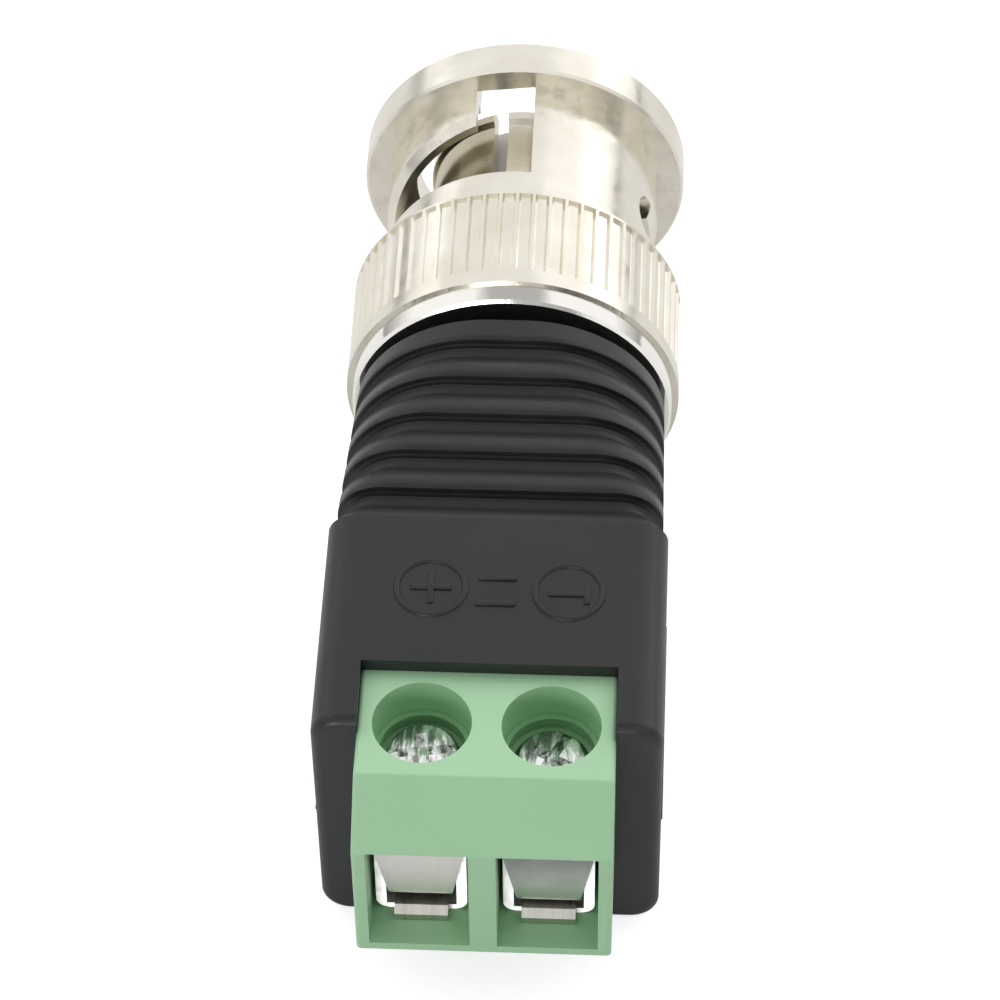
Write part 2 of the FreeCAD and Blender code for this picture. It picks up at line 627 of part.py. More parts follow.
def round_wire(points, radius):
    """Round bar of this radius along a bent path."""
    direction = points[1] - points[0]
    start = Part.Wire(Part.makeCircle(radius, points[0], direction))
    return bent_path(points, LEAD_BEND_R).makePipeShell([start], True, False)


def lead_points():
    """Routes of the two leads, from the plug end to the solder pins."""
    pin_z = BLOCK_BOTTOM - SOLDER_PIN_LENGTH * 0.6
    cup_y = INSULATOR_REAR_Y - PIN_CUP_LENGTH
    half = PITCH / 2
    positive = [V(0, cup_y + PIN_CUP_BORE, 0), V(0, cup_y - LEAD_CUP_RUN, 0),
                V(-half, PIN_FRONT_Y + LEAD_PIN_RUN, pin_z), V(-half, PIN_FRONT_Y, pin_z)]
    width, length, thickness = EARTH_TAB
    tab_z = -(INSULATOR_R + thickness / 3) + LEAD_R + LEAD_LIFT
    tab_end = BODY_REAR_Y - length
    negative = [V(0, tab_end + length * 0.6, tab_z), V(0, tab_end - LEAD_TAB_RUN, tab_z),
                V(half, PIN_FRONT_Y + LEAD_PIN_RUN, pin_z), V(half, PIN_FRONT_Y, pin_z)]
    return positive, negative


def sleeve_for(points, lead):
    """Insulation over a lead, bare for a short length at both ends."""
    tube = round_wire(points, SLEEVE_R)
    first = (points[1] - points[0]).normalize()
    last = (points[-1] - points[-2]).normalize()
    bare_start = Part.makeCylinder(2 * SLEEVE_R, PIN_CUP_BORE + SLEEVE_BARE, points[0], first)
    bare_end = Part.makeCylinder(2 * SLEEVE_R, SLEEVE_BARE, points[-1] - last * SLEEVE_BARE, last)
    return tube.cut(bare_start).cut(bare_end).cut(lead)


def solder_drop(centre, lead, others):
    """Solder round a lead: a barrel along the plug axis that tapers to both ends."""
    half = SOLDER_LENGTH / 2
    end_r = SOLDER_R * 0.6
    drop = turned([(0, half), (end_r, half), (SOLDER_R, half / 3), (SOLDER_R, -half / 3),
                   (end_r, -half), (0, -half)])
    drop.translate(centre)
    drop = drop.cut(lead)
    for other in others:
        drop = drop.cut(other)
    return largest(drop)


def solder_joints(positive, negative, positive_lead, negative_lead, others):
    """Four solder fillets: at the pin's cup, on the earth tab and on both solder pins."""
    cup_y = INSULATOR_REAR_Y - PIN_CUP_LENGTH
    fill = ring(PIN_CUP_BORE_R, 0, cup_y + PIN_CUP_BORE, cup_y).cut(positive_lead)
    return Part.makeCompound([
        fill, solder_drop(positive[-1], positive_lead, others),
        solder_drop(negative[-1], negative_lead, others),
        solder_drop(negative[0] + V(0, -0.5, 0), negative_lead, others)])


def largest(shape):
    """The largest solid of a shape that was cut into several."""
    return max(shape.Solids, key=lambda solid: solid.Volume)


def moulded_body(embedded):
    """Black overmoulding: ribbed neck that turns from round to square, and a block with a notch."""
    shoulder_y = MOULD_FRONT_Y - MOULD_FRONT_BREAK
    neck_width = MOULD_WIDTH - 2 * NECK_INSET
    neck_height = MOULD_HEIGHT - 2 * NECK_INSET

    def neck_section(y, grow=0.0):
        share = (y - shoulder_y) / (NECK_REAR_Y - shoulder_y)
        width = NECK_FRONT_WIDTH + share * (neck_width - NECK_FRONT_WIDTH)
        height = NECK_FRONT_WIDTH + share * (neck_height - NECK_FRONT_WIDTH)
        radius = NECK_FRONT_CORNER_R + share * (MOULD_CORNER_R - NECK_FRONT_CORNER_R)
        return rounded_section(y, width + 2 * grow, height + 2 * grow, radius + grow)

    # The grooves are stations of one ruled loft, each a round hollow in short straight steps.
    front_width = NECK_FRONT_WIDTH - 2 * MOULD_FRONT_BREAK
    front_corner_r = NECK_FRONT_CORNER_R - MOULD_FRONT_BREAK
    sections = [rounded_section(MOULD_FRONT_Y, front_width, front_width, front_corner_r),
                neck_section(shoulder_y)]
    reach = math.acos(GROOVE_RAISE / GROOVE_R)
    for index in range(GROOVES):
        groove_y = MOULD_FRONT_Y - GROOVE_FIRST - index * GROOVE_PITCH
        for step in range(GROOVE_STEPS + 1):
            turn = reach * (1 - 2 * step / GROOVE_STEPS)
            sections.append(neck_section(groove_y + GROOVE_R * math.sin(turn),
                                         GROOVE_RAISE - GROOVE_R * math.cos(turn)))
    sections.append(neck_section(NECK_REAR_Y))
    neck = Part.makeLoft(sections, True, True)
    square = Part.Face(rounded_section(MOULD_REAR_Y, MOULD_WIDTH, MOULD_HEIGHT, MOULD_CORNER_R))
    square = square.extrude(V(0, NECK_REAR_Y - MOULD_REAR_Y, 0))
    rear_edges = [e for e in square.Edges if e.BoundBox.YMax < MOULD_REAR_Y + 0.001]
    square = square.makeFillet(MOULD_END_R, rear_edges)
    body = neck.fuse(square)
    notch = block(-PITCH, PITCH, MOULD_REAR_Y - 1, BLOCK_REAR_Y, BLOCK_BOTTOM, MOULD_HEIGHT)
    body = body.cut(notch)
    for inner in embedded:
        body = body.cut(inner)
    return body


def build():
    """Every piece of the adapter, by name."""
    poles = {"plus": -PITCH / 2, "minus": PITCH / 2}
    drops = {"plus": 0.0, "minus": MINUS_POLE_DROP}
    drive_angles = {"plus": PLUS_DRIVE_ANGLE, "minus": MINUS_DRIVE_ANGLE}
    pieces = {"coupling_nut": coupling_nut(), "plug_body": plug_body(), "face_seal": face_seal(),
              "wave_washer": wave_washer(), "thrust_washer": thrust_washer()}
    pin = centre_pin()
    pieces["centre_pin"] = pin
    pieces["insulator"] = insulator(pin)
    pieces["terminal_housing"] = terminal_housing(poles.values())
    for name, x in poles.items():
        pieces[f"clamp_cage_{name}"] = clamp_cage(x)
        pieces[f"contact_strip_{name}"] = contact_strip(x)
        pieces[f"wire_guard_{name}"] = wire_guard(x, drops[name])
        pieces[f"clamp_screw_{name}"] = clamp_screw(x, drops[name], drive_angles[name])
    positive, negative = lead_points()
    pieces["positive_lead"] = round_wire(positive, LEAD_R)
    pieces["negative_lead"] = round_wire(negative, LEAD_R)
    pieces["positive_lead_sleeve"] = sleeve_for(positive, pieces["positive_lead"])
    strips = [pieces["contact_strip_plus"], pieces["contact_strip_minus"], pieces["plug_body"],
              pieces["positive_lead_sleeve"]]
    pieces["solder_joints"] = solder_joints(positive, negative, pieces["positive_lead"],
                                            pieces["negative_lead"], strips)
    embedded = [pieces[name] for name in (
        "plug_body", "insulator", "centre_pin", "contact_strip_plus", "contact_strip_minus",
        "positive_lead", "negative_lead", "positive_lead_sleeve", "solder_joints")]
    pieces["moulded_body"] = moulded_body(embedded)
    return pieces


def main():
    os.makedirs("parts", exist_ok=True)
    for name, shape in build().items():
        shape.exportStep(f"parts/{name}.step")
        print(name, "solids", len(shape.Solids), "valid", shape.isValid(), "volume", round(shape.Volume, 3))


main()
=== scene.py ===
"""Looks of the bayonet plug with a screw terminal block, in metres, in the CAD part's frame."""
import math
import bpy
from mathutils import Matrix, Vector


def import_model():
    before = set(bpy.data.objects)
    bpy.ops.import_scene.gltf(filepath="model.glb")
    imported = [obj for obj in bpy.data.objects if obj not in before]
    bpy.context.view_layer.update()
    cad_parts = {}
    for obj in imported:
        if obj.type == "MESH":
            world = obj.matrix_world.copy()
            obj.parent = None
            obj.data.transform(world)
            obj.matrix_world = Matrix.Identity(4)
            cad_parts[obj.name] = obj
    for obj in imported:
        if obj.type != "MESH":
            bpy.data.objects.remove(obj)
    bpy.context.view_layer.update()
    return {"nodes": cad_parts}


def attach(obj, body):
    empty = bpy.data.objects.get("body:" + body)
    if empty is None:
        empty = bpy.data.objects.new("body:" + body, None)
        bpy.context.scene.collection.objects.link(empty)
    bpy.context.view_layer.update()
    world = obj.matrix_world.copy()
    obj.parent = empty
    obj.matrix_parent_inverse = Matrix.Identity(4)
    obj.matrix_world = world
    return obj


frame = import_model()
MM = 0.001


# Node helpers for the finishes

def feed(tree, value, socket):
    """Sets a plain number on a socket, or links another node's output to it."""
    if isinstance(value, float):
        socket.default_value = value
    else:
        tree.links.new(value, socket)


class Finish:
    """One material under construction: a principled surface and the nodes that feed it."""

    def __init__(self, name, color, metal, roughness):
        self.material = bpy.data.materials.new(name)
        self.material.use_nodes = True
        self.tree = self.material.node_tree
        self.surface = self.tree.nodes["Principled BSDF"]
        self.surface.inputs["Base Color"].default_value = (*color, 1)
        self.surface.inputs["Metallic"].default_value = metal
        self.surface.inputs["Roughness"].default_value = roughness
        self.place = self.tree.nodes.new("ShaderNodeTexCoord").outputs["Object"]
        self.bump = None

    def noise(self, per_metre, detail=3.0, rough=0.5, along=None):
        """Cloudy values round 0.5."""
        node = self.tree.nodes.new("ShaderNodeTexNoise")
        node.inputs["Scale"].default_value = per_metre
        node.inputs["Detail"].default_value = detail
        node.inputs["Roughness"].default_value = rough
        self.tree.links.new(along or self.place, node.inputs["Vector"])
        return node.outputs["Fac"]

    def grain(self, per_metre):
        """Noise of another scale along each axis, for rolled, cut and moulded surfaces."""
        node = self.tree.nodes.new("ShaderNodeMapping")
        node.inputs["Scale"].default_value = per_metre
        self.tree.links.new(self.place, node.inputs["Vector"])
        return self.noise(1.0, rough=0.6, along=node.outputs["Vector"])

    def turning_lines(self, per_metre):
        """Fine tool marks round the plug axis."""
        node = self.tree.nodes.new("ShaderNodeTexWave")
        node.bands_direction = "Y"
        node.inputs["Scale"].default_value = per_metre
        node.inputs["Distortion"].default_value = 1.5
        node.inputs["Detail"].default_value = 2.0
        self.tree.links.new(self.place, node.inputs["Vector"])
        return node.outputs["Fac"]

    def axis(self, name):
        """One of the part's own coordinates, X, Y or Z."""
        node = self.tree.nodes.new("ShaderNodeSeparateXYZ")
        self.tree.links.new(self.place, node.inputs[0])
        return node.outputs[name]

    def along(self, name, low, high):
        """0 to 1 between two places on an axis."""
        return self.spread(self.axis(name), low, high, 0, 1)

    def rows(self, first, pitch, count):
        """An even row along the plug axis: 1 in the middle of each, -1 between and beyond them."""
        turn = self.spread(self.axis("Y"), first + pitch / 2, first - (count - 0.5) * pitch,
                           -math.pi, (2 * count - 1) * math.pi)
        return self.reckon("COSINE", turn)

    def from_screws(self):
        """Distance in plan from the nearer screw's axis."""
        across = self.reckon("SUBTRACT", self.reckon("ABSOLUTE", self.axis("X")), SCREW_X)
        along = self.reckon("SUBTRACT", self.axis("Y"), SCREW_Y)
        squares = self.reckon("ADD", self.reckon("MULTIPLY", across, across),
                              self.reckon("MULTIPLY", along, along))
        return self.reckon("SQRT", squares)

    def reckon(self, operation, first, second=None, clamp=False):
        """A sum on one or two values. The second is a node's output or a plain number."""
        node = self.tree.nodes.new("ShaderNodeMath")
        node.operation = operation
        node.use_clamp = clamp
        self.tree.links.new(first, node.inputs[0])
        if second is not None:
            feed(self.tree, second, node.inputs[1])
        return node.outputs[0]

    def blend(self, first, second, mask):
        """The first value where the mask is 0 and the second where it is 1."""
        node = self.tree.nodes.new("ShaderNodeMix")
        self.tree.links.new(first, node.inputs["A"])
        node.inputs["B"].default_value = second
        self.tree.links.new(mask, node.inputs["Factor"])
        return node.outputs["Result"]

    def spread(self, value, low, high, to_low, to_high):
        """The value between low and high, drawn out to a new range."""
        node = self.tree.nodes.new("ShaderNodeMapRange")
        ends = (("From Min", low), ("From Max", high), ("To Min", to_low), ("To Max", to_high))
        for name, number in ends:
            node.inputs[name].default_value = number
        self.tree.links.new(value, node.inputs["Value"])
        return node.outputs["Result"]

    def vary_color(self, value, first, second):
        """A colour that runs from the first to the second. The first may itself vary."""
        node = self.tree.nodes.new("ShaderNodeMix")
        node.data_type = "RGBA"
        if isinstance(first, tuple):
            node.inputs["A"].default_value = (*first, 1)
        else:
            self.tree.links.new(first, node.inputs["A"])
        node.inputs["B"].default_value = (*second, 1)
        self.tree.links.new(value, node.inputs["Factor"])
        self.tree.links.new(node.outputs["Result"], self.surface.inputs["Base Color"])
        return node.outputs["Result"]

    def vary_roughness(self, value):
        self.tree.links.new(value, self.surface.inputs["Roughness"])

    def raise_bump(self, value, strength, height):
        """Relief of the given height, on top of any relief added before."""
        node = self.tree.nodes.new("ShaderNodeBump")
        node.inputs["Strength"].default_value = strength
        node.inputs["Distance"].default_value = height
        self.tree.links.new(value, node.inputs["Height"])
        if self.bump:
            self.tree.links.new(self.bump, node.inputs["Normal"])
        self.bump = node.outputs["Normal"]
        self.tree.links.new(self.bump, self.surface.inputs["Normal"])


# Finishes, with the places on the part that they follow in metres

METAL = 1.0
PLASTIC = 0.0
NUT_REAR = -0.0155
HUB_FRONT = -0.0146
HUB_JOIN = 0.0001
ROLLED_EDGE = 0.0004
FLANGE_REAR = -0.0018
FLANGE_JOIN = 0.00005
CORNER_SHADE_FADE_IN = 0.0028
CORNER_SHADE_FULL = 0.0008
FIRST_GROOVE = -0.01805
GROOVE_PITCH = 0.002
GROOVES = 5
GROOVE_SHADE_OFFSET = 0.00028  # the photograph's dark lines lie nearer to the block
LAND_CROWN = 0.00021
SCREW_X = 0.00254
SCREW_Y = -0.03699
WELL_EDGE = 0.0020
WELL_EDGE_END = 0.00203
WELL_SHADE_START = 0.0042
WELL_SHADE_FULL = 0.0039
CAGE_TOP = 0.0024
CAGE_BOTTOM = -0.0021
CAGE_RIM_TILT = 0.003
DARK_TOP_START = 0.0002
DARK_TOP_FULL = 0.0026
SHEET_GRAIN = (5200, 420, 420)  # per metre
CUT_GRAIN = (2300, 520, 1500)
FLOW_GRAIN = (900, 160, 500)


def cast_nickel():
    """Cloudy nickel plate with pits, blotchy painted shade in the corner behind the flange, and a
    smoother, rounded hub with a painted highlight.
    """
    finish = Finish("cast_nickel_plate", (0.84, 0.80, 0.71), METAL, 0.2)
    cloud = finish.spread(finish.noise(420, detail=4), 0.3, 0.7, 0, 1)
    tone = finish.vary_color(cloud, (0.78, 0.74, 0.64), (0.88, 0.845, 0.76))
    # Painted highlight: the hub's colour is brighter, near white.
    hub = finish.along("Y", HUB_FRONT, HUB_FRONT - HUB_JOIN)
    tone = finish.vary_color(hub, tone, (0.98, 0.96, 0.91))
    # Painted shade: dark blotches in the corner behind the flange.
    streaks = finish.spread(finish.noise(900, rough=0.6), 0.48, 0.72, 0, 0.5)
    behind = finish.along("Y", FLANGE_REAR - CORNER_SHADE_FADE_IN, FLANGE_REAR - CORNER_SHADE_FULL)
    under = finish.along("Y", FLANGE_REAR + FLANGE_JOIN, FLANGE_REAR - FLANGE_JOIN)
    flange_corner_shade = finish.reckon("MULTIPLY", behind, under)
    tone = finish.vary_color(finish.reckon("MULTIPLY", streaks, flange_corner_shade), tone, (0.40, 0.36, 0.29))
    pits = finish.spread(finish.noise(2600, detail=5, rough=0.6), 0.70, 0.77, 0, 0.7)
    finish.vary_color(pits, tone, (0.36, 0.31, 0.24))
    rough = finish.spread(finish.noise(900), 0.3, 0.7, 0.15, 0.27)
    finish.vary_roughness(finish.blend(rough, 0.09, hub))
    finish.raise_bump(finish.noise(380, detail=2), 0.5, 0.0001)
    finish.raise_bump(finish.along("Y", NUT_REAR, HUB_FRONT), 1.0, ROLLED_EDGE)
    finish.raise_bump(finish.noise(5200), 0.10, 0.00001)
    return finish.material


def turned_nickel():
    finish = Finish("turned_nickel_plate", (0.74, 0.70, 0.60), METAL, 0.16)
    finish.vary_color(finish.noise(600), (0.66, 0.615, 0.51), (0.76, 0.72, 0.63))
    finish.vary_roughness(finish.spread(finish.noise(1500), 0.3, 0.7, 0.10, 0.22))
    finish.raise_bump(finish.turning_lines(3600), 0.12, 0.000006)
    return finish.material


def gold_pin():
    finish = Finish("thin_gold_plate", (0.83, 0.62, 0.28), METAL, 0.18)
    finish.vary_color(finish.noise(1400), (0.78, 0.55, 0.22), (0.88, 0.68, 0.34))
    finish.raise_bump(finish.turning_lines(5200), 0.10, 0.000004)
    return finish.material


def zinc_plate():
    """Bright zinc on the cages, whose front rims are tilted to the light."""
    finish = Finish("bright_zinc_plate", (0.84, 0.84, 0.82), METAL, 0.4)
    finish.vary_color(finish.noise(1600, detail=4), (0.76, 0.765, 0.75), (0.89, 0.89, 0.87))
    finish.vary_roughness(finish.spread(finish.noise(3200), 0.3, 0.7, 0.34, 0.50))
    finish.raise_bump(finish.along("Z", CAGE_TOP, CAGE_BOTTOM), 1.0, CAGE_RIM_TILT)
    finish.raise_bump(finish.noise(2600), 0.30, 0.00002)
    return finish.material


def screw_zinc():
    """Bright zinc over a rough cut head, with burrs drawn out along the cut."""
    finish = Finish("screw_zinc_plate", (0.84, 0.85, 0.83), METAL, 0.16)
    streaks = finish.grain(CUT_GRAIN)
    worn = finish.spread(streaks, 0.42, 0.56, 0, 1)
    finish.vary_color(worn, (0.26, 0.28, 0.26), (0.97, 0.98, 0.97))
    finish.vary_roughness(finish.spread(finish.noise(3200), 0.3, 0.7, 0.14, 0.30))
    finish.raise_bump(streaks, 1.0, 0.00009)
    return finish.material


def rolled_sheet(name, dark, light, roughness):
    """Rolled strip with fine lines along its length."""
    finish = Finish(name, light, METAL, roughness)
    lines = finish.grain(SHEET_GRAIN)
    finish.vary_color(lines, dark, light)
    finish.vary_roughness(finish.spread(lines, 0.3, 0.7, roughness * 0.9, roughness * 1.2))
    finish.raise_bump(lines, 0.05, 0.000004)
    return finish.material


def dark_topped_sheet():
    """The same spring steel with a ragged band of painted dark reflection along its top."""
    finish = Finish("spring_steel_painted_dark_top", (0.68, 0.67, 0.65), METAL, 0.32)
    ragged = finish.spread(finish.noise(900, detail=2), 0.3, 0.7, -0.12, 0.12)
    height = finish.along("Z", DARK_TOP_START, DARK_TOP_FULL)
    band = finish.reckon("ADD", height, ragged, clamp=True)
    # Painted reflection: the colour darkens towards the top of the guard.
    finish.vary_color(band, (0.72, 0.71, 0.69), (0.27, 0.285, 0.29))
    lines = finish.grain(SHEET_GRAIN)
    finish.raise_bump(lines, 0.05, 0.000004)
    return finish.material


def black_moulding():
    """Satin black, with the neck's lands crowned and painted shade on the block's side of its
    grooves.
    """
    finish = Finish("black_satin_moulding", (0.018, 0.0185, 0.0195), PLASTIC, 0.42)
    finish.surface.inputs["Specular IOR Level"].default_value = 0.45
    tone = finish.vary_color(finish.noise(170), (0.014, 0.0145, 0.0155), (0.023, 0.0235, 0.0245))
    grooves = finish.rows(FIRST_GROOVE, GROOVE_PITCH, GROOVES)
    # Painted shade: the colour darkens to near black on the block's side of each groove.
    shaded = finish.rows(FIRST_GROOVE - GROOVE_SHADE_OFFSET, GROOVE_PITCH, GROOVES)
    shade = finish.spread(shaded, 0.35, 0.8, 0, 1)
    finish.vary_color(shade, tone, (0.005, 0.005, 0.005))
    flow = finish.grain(FLOW_GRAIN)
    satin = finish.spread(flow, 0.25, 0.75, 0.32, 0.44)
    finish.vary_roughness(finish.blend(satin, 0.7, shade))
    finish.raise_bump(finish.spread(grooves, 0.5, -1, 0, 1), 1.0, LAND_CROWN)
    finish.raise_bump(finish.noise(330, detail=2), 0.20, 0.00008)
    finish.raise_bump(finish.noise(8500), 0.22, 0.00002)
    return finish.material


def green_plastic():
    """Pale green with a little depth, and painted shade at the foot of the screw wells."""
    finish = Finish("pale_green_plastic", (0.44, 0.735, 0.45), PLASTIC, 0.38)
    cloud = finish.noise(260, detail=4)
    tone = finish.vary_color(cloud, (0.415, 0.715, 0.425), (0.465, 0.755, 0.475))
    # Painted shade: the colour darkens low inside the screw wells.
    inside = finish.spread(finish.from_screws(), WELL_EDGE, WELL_EDGE_END, 1, 0)
    low = finish.along("Z", WELL_SHADE_START, WELL_SHADE_FULL)
    well_foot_shade = finish.reckon("MULTIPLY", inside, low)
    finish.vary_color(well_foot_shade, tone, (0.26, 0.48, 0.26))
    finish.vary_roughness(finish.spread(finish.noise(1100), 0.3, 0.7, 0.32, 0.46))
    finish.raise_bump(finish.noise(9500), 0.16, 0.000016)
    finish.surface.inputs["Subsurface Weight"].default_value = 0.06
    finish.surface.inputs["Subsurface Radius"].default_value = (0.4, 1.0, 0.4)
    finish.surface.inputs["Subsurface Scale"].default_value = 0.0004
    return finish.material


def white_plastic():
    finish = Finish("white_insulator_plastic", (0.84, 0.83, 0.79), PLASTIC, 0.42)
    finish.vary_color(finish.noise(900), (0.80, 0.79, 0.74), (0.87, 0.86, 0.83))
    finish.raise_bump(finish.turning_lines(4200), 0.12, 0.000008)
    return finish.material


def soft_seal():
    finish = Finish("black_rubber", (0.02, 0.02, 0.02), PLASTIC, 0.6)
    finish.vary_color(finish.noise(1200), (0.015, 0.015, 0.015), (0.03, 0.03, 0.03))
    finish.raise_bump(finish.noise(7000), 0.3, 0.00002)
    return finish.material


def red_insulation():
    finish = Finish("red_wire_insulation", (0.55, 0.03, 0.025), PLASTIC, 0.35)
    finish.vary_color(finish.noise(700), (0.48, 0.02, 0.02), (0.62, 0.05, 0.04))
    finish.raise_bump(finish.noise(4000), 0.2, 0.00001)
    return finish.material


def bright_solder():
    finish = Finish("bright_solder", (0.74, 0.75, 0.77), METAL, 0.25)
    finish.vary_color(finish.noise(2400, detail=4), (0.62, 0.63, 0.65), (0.82, 0.83, 0.84))
    finish.raise_bump(finish.noise(1800), 0.5, 0.00003)
    return finish.material


def dress(material, *nodes):
    """Gives the finish to the CAD nodes."""
    for node in nodes:
        slots = frame["nodes"][node].data.materials
        slots.clear()
        slots.append(material)


# Modelling helpers

SMOOTH_ANGLE = math.radians(40)


def start_clean():
    """Object mode with nothing selected."""
    if bpy.context.object and bpy.context.object.mode != "OBJECT":
        bpy.ops.object.mode_set(mode="OBJECT")
    bpy.ops.object.select_all(action="DESELECT")


def settle(piece, name, material, body):
    """Names a finished piece, puts its place in its mesh and sets what it rides on."""
    piece.name = name
    start_clean()
    piece.select_set(True)
    bpy.context.view_layer.objects.active = piece
    bpy.ops.object.transform_apply(location=True, rotation=True, scale=True)
    bpy.ops.object.shade_smooth_by_angle(angle=SMOOTH_ANGLE)
    piece.data.materials.clear()
    piece.data.materials.append(material)
    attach(piece, body)
    return piece


def bar(x0, x1, y0, y1, z0, z1, soften):
    """Straight raised bar with rounded edges, in millimetres."""
    start_clean()
    middle = Vector(((x0 + x1) / 2, (y0 + y1) / 2, (z0 + z1) / 2)) * MM
    bpy.ops.mesh.primitive_cube_add(size=1, location=middle)
    piece = bpy.context.object
    piece.scale = Vector((x1 - x0, y1 - y0, z1 - z0)) * MM
    bpy.ops.object.transform_apply(location=False, rotation=False, scale=True)
    bevel = piece.modifiers.new("soften", "BEVEL")
    bevel.width = soften * MM
    bevel.segments = 3
    bpy.ops.object.modifier_apply(modifier=bevel.name)
    return piece


def joined(pieces):
    """The pieces as one object."""
    start_clean()
    for piece in pieces:
        piece.select_set(True)
    bpy.context.view_layer.objects.active = pieces[0]
    bpy.ops.object.join()
    return bpy.context.object


# Marks and flash lines moulded on the black body, in millimetres

TOP_FACE = 6.45
SIDE_FACE = 6.925
LINE = 0.26
LINE_RISE = 0.09
CROSS_RISE = 0.08
LINE_EDGE = 0.05
PLUS_X, PLUS_Y = -2.52, -30.7
PLUS_RING = 1.38
PLUS_ARM = 0.82
MINUS_X, MINUS_Y = 3.0, -30.75
MINUS_RING = 1.36
MINUS_STROKE_Y = MINUS_Y - 0.12
MINUS_STROKE = (2.17, 3.72)
MINUS_UPRIGHT = (3.62, 3.86)
MINUS_UPRIGHT_REAR = 0.62
MINUS_UPRIGHT_FRONT = 0.38
MIDDLE_STROKES = ((-0.63, 0.91, -30.15), (-0.72, 0.88, -31.45))
FLASH_FROM = -37.1
FLASH_TO = -27.3
FLASH_HALF = 0.06
FLASH_RISE = 0.05
FLASH_EDGE = 0.03


def round_mark(x, y, radius):
    """Raised ring, flattened to the height of the moulded lines."""
    start_clean()
    bpy.ops.mesh.primitive_torus_add(
        location=Vector((x, y, TOP_FACE)) * MM, major_radius=radius * MM,
        minor_radius=LINE / 2 * MM, major_segments=72, minor_segments=12)
    piece = bpy.context.object
    piece.scale.z = LINE_RISE / (LINE / 2)
    return piece


def raised_line(x0, x1, y0, y1, rise=LINE_RISE):
    return bar(x0, x1, y0, y1, TOP_FACE - rise, TOP_FACE + rise, LINE_EDGE)


def stroke(x0, x1, y):
    """Raised line of the common width across the body."""
    return raised_line(x0, x1, y - LINE / 2, y + LINE / 2)


def mark(name, parts, material):
    return settle(joined(parts), name, material, "adapter_body")


def plus_mark(material):
    ring = round_mark(PLUS_X, PLUS_Y, PLUS_RING)
    across = stroke(PLUS_X - PLUS_ARM, PLUS_X + PLUS_ARM, PLUS_Y)
    upright = raised_line(PLUS_X - LINE / 2, PLUS_X + LINE / 2,
                          PLUS_Y - PLUS_ARM, PLUS_Y + PLUS_ARM, CROSS_RISE)
    return mark("plus_mark", [ring, across, upright], material)


def minus_mark(material):
    ring = round_mark(MINUS_X, MINUS_Y, MINUS_RING)
    across = stroke(*MINUS_STROKE, MINUS_STROKE_Y)
    upright = raised_line(*MINUS_UPRIGHT, MINUS_Y - MINUS_UPRIGHT_REAR,
                          MINUS_Y + MINUS_UPRIGHT_FRONT, CROSS_RISE)
    return mark("minus_mark", [ring, across, upright], material)


def middle_marks(material):
    return mark("middle_marks", [stroke(*line) for line in MIDDLE_STROKES], material)


def parting_line(name, material, side):
    """Faint flash line at mid-height along one side of the square part of the moulding."""
    x = side * SIDE_FACE
    piece = bar(x - FLASH_RISE, x + FLASH_RISE, FLASH_FROM, FLASH_TO,
                -FLASH_HALF, FLASH_HALF, FLASH_EDGE)
    return settle(piece, name, material, "adapter_body")


# Stage: floor, world, lamps and camera

NUT_CONTACT_Y, NUT_CONTACT_Z = -14.6, -7.25
BODY_CONTACT_Y, BODY_CONTACT_Z = -37.3, -6.43
FLOOR_TILT = math.atan2(BODY_CONTACT_Z - NUT_CONTACT_Z, NUT_CONTACT_Y - BODY_CONTACT_Y)
FLOOR_SIZE = 4
FLOOR_COLOR = (0.7, 0.7, 0.7, 1)
FLOOR_GLOW = 0.76
FLOOR_IN_METAL = 0.22


def by_ray(tree, level, rays):
    """A strength that depends on the kind of ray: the level, or the value named for the ray."""
    ways = tree.nodes.new("ShaderNodeLightPath")
    for way, strength in rays:
        choose = tree.nodes.new("ShaderNodeMix")
        feed(tree, level, choose.inputs["A"])
        feed(tree, strength, choose.inputs["B"])
        tree.links.new(ways.outputs[way], choose.inputs["Factor"])
        level = choose.outputs["Result"]
    return level


def floor_finish():
    """Matte, with a glow that only the camera, glass and metal see."""
    material = bpy.data.materials.new("pale_floor")
    material.use_nodes = True
    tree = material.node_tree
    tree.nodes.clear()
    glow = by_ray(tree, 0.0, (("Is Glossy Ray", FLOOR_IN_METAL),
                              ("Is Transmission Ray", FLOOR_GLOW),
                              ("Is Camera Ray", FLOOR_GLOW)))
    matte = tree.nodes.new("ShaderNodeBsdfDiffuse")
    matte.inputs["Color"].default_value = FLOOR_COLOR
    light = tree.nodes.new("ShaderNodeEmission")
    tree.links.new(glow, light.inputs["Strength"])
    both = tree.nodes.new("ShaderNodeAddShader")
    tree.links.new(matte.outputs[0], both.inputs[0])
    tree.links.new(light.outputs[0], both.inputs[1])
    out = tree.nodes.new("ShaderNodeOutputMaterial")
    tree.links.new(both.outputs[0], out.inputs["Surface"])
    return material


def floor():
    """Pale floor that the nut's rear rim and the body's rear edge rest on."""
    start_clean()
    bpy.ops.mesh.primitive_plane_add(size=FLOOR_SIZE)
    piece = bpy.context.object
    piece.name = "floor"
    contact = Vector((0, NUT_CONTACT_Y, NUT_CONTACT_Z)) * MM
    turn = Matrix.Rotation(-FLOOR_TILT, 4, "X")
    piece.data.transform(Matrix.Translation(contact) @ turn)
    piece.data.materials.append(floor_finish())


ROOM_LIGHT = 0.12
SKY_LIGHT = 1.46
SKY_SIDE = (0, 0.74, 0.67)
LOW_WALL = 0.36
WALL = 0.95
CEILING = 0.45
ROOM_HEIGHTS = ((0.05, LOW_WALL), (1.0, CEILING), (0.40, WALL), (0.90, WALL), (0.96, CEILING))


